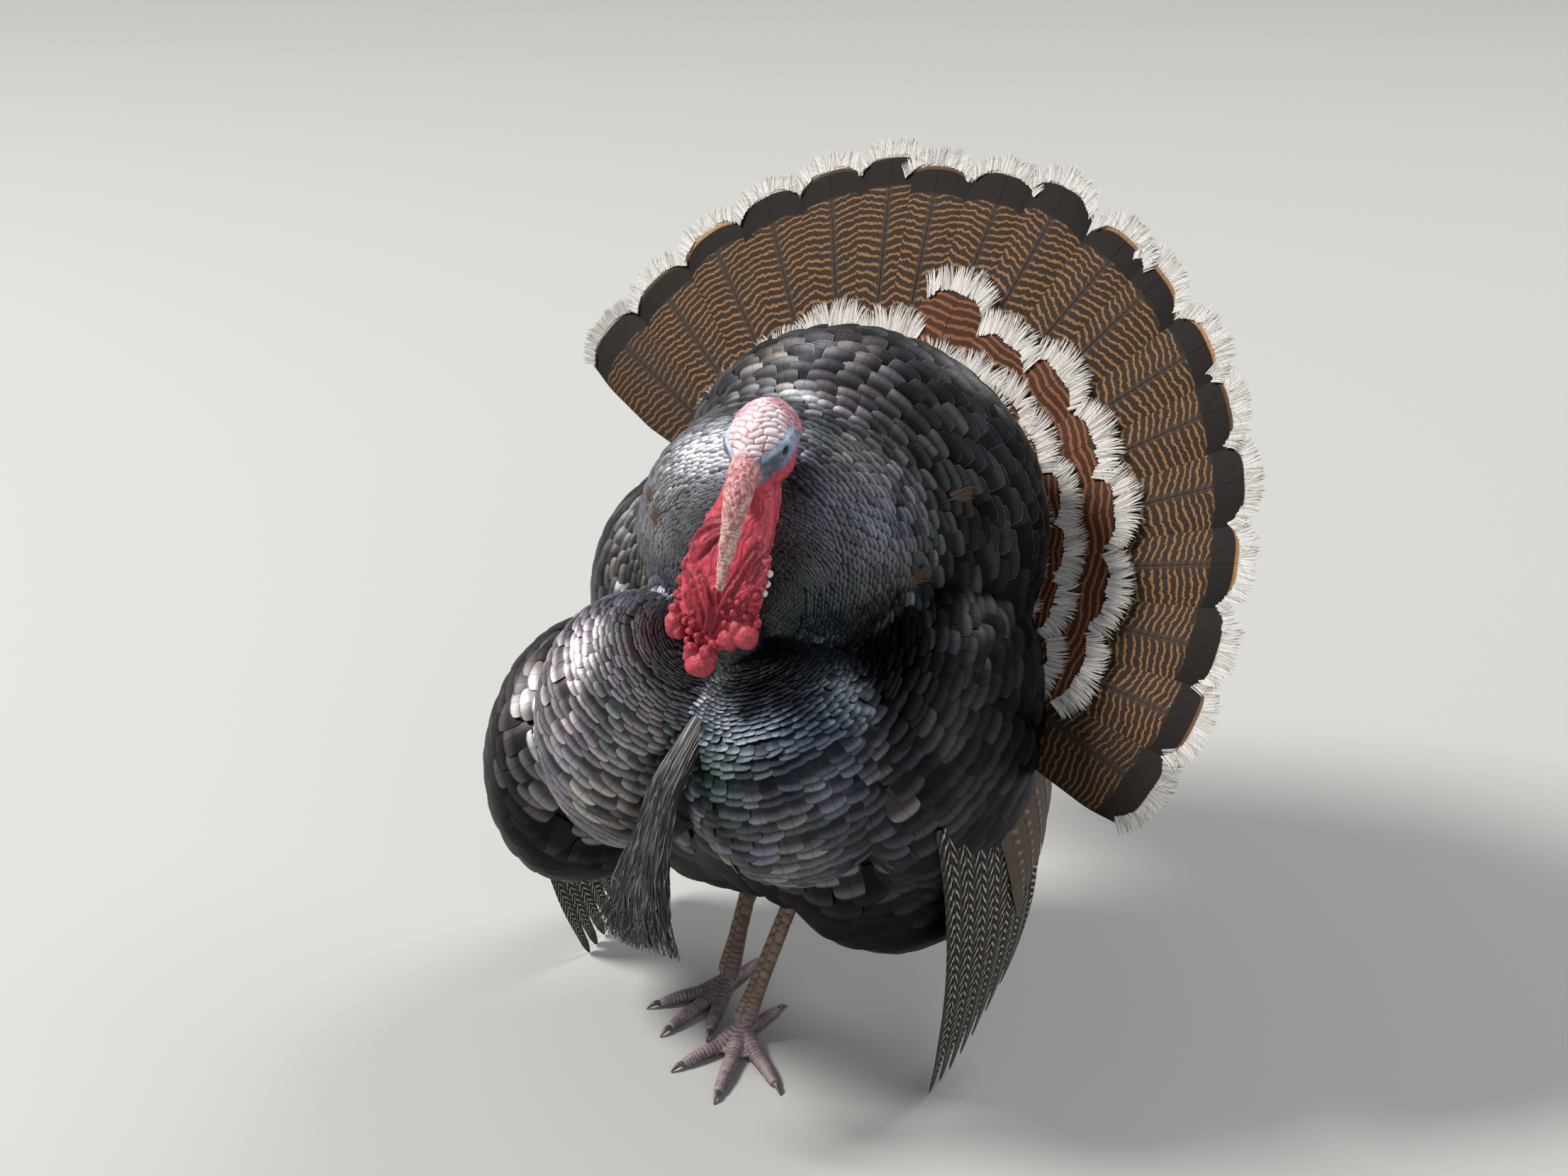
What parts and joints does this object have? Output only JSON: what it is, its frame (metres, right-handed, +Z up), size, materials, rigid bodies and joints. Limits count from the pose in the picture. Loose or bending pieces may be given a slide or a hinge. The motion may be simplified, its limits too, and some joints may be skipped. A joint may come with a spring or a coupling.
{
  "type": "wild turkey",
  "caption": "Displaying wild turkey tom, life size: fanned tail, puffed body, drooped wings, snood, wattles and beard.",
  "frame": {"origin": "middle of the bird's box in plan, at the floor that it stands on", "axes": "+Z up; -Y the way the bird faces; +X the bird's left"},
  "size_m": [0.763, 0.6204, 0.7365],
  "materials": {
    "feather_black": "glossy black feathers with bronze and green sheen",
    "feather_breast": "slate feathers with blue and purple sheen",
    "feather_brown": "dark brown feathers with pale bars",
    "tail_brown": "brown barred feathers with a black band and white tips",
    "tail_chestnut": "chestnut feathers with white frayed tips",
    "crown_white": "bare wrinkled skin",
    "flesh_red": "bare wrinkled skin, moist shine",
    "flesh_pink": "bare pebbled skin",
    "horn_grey": "worn horn",
    "eye_dark": "wet, polished",
    "leg_pink": "scaled skin",
    "bristle": "coarse bristle"
  },
  "bodies": {
    "root": {"back": "feather_black", "beard": "bristle", "belly": "feather_black", "bill_lower": "horn_grey", "bill_upper": "horn_grey", "breast_left": "feather_breast", "breast_right": "feather_breast", "caruncle_left": "flesh_red", "caruncle_middle": "flesh_red", "caruncle_right": "flesh_red", "claw_left_1": "horn_grey", "claw_left_2": "horn_grey", "claw_left_3": "horn_grey", "claw_left_4": "horn_grey", "claw_right_1": "horn_grey", "claw_right_2": "horn_grey", "claw_right_3": "horn_grey", "claw_right_4": "horn_grey", "eye_left": "eye_dark", "eye_right": "eye_dark", "foot_left": "leg_pink", "foot_right": "leg_pink", "head": "crown_white", "neck": "flesh_red", "rump": "feather_black", "scapulars_right": "feather_black", "shank_left": "leg_pink", "shank_right": "leg_pink", "snood": "flesh_pink", "spur_left": "horn_grey", "spur_right": "horn_grey", "tail_coverts_small": "tail_chestnut", "tail_coverts_under": "tail_chestnut", "tail_coverts_upper": "tail_chestnut", "tail_feathers": "tail_brown", "thigh_left": "feather_black", "thigh_right": "feather_black", "throat": "flesh_red", "upper_breast": "feather_breast", "wing_left_primaries": "feather_brown", "wing_left_secondaries": "feather_brown", "wing_left_shoulder": "feather_black", "wing_right_primaries": "feather_brown", "wing_right_secondaries": "feather_brown", "wing_right_shoulder": "feather_black"}
  },
  "joints": []
}
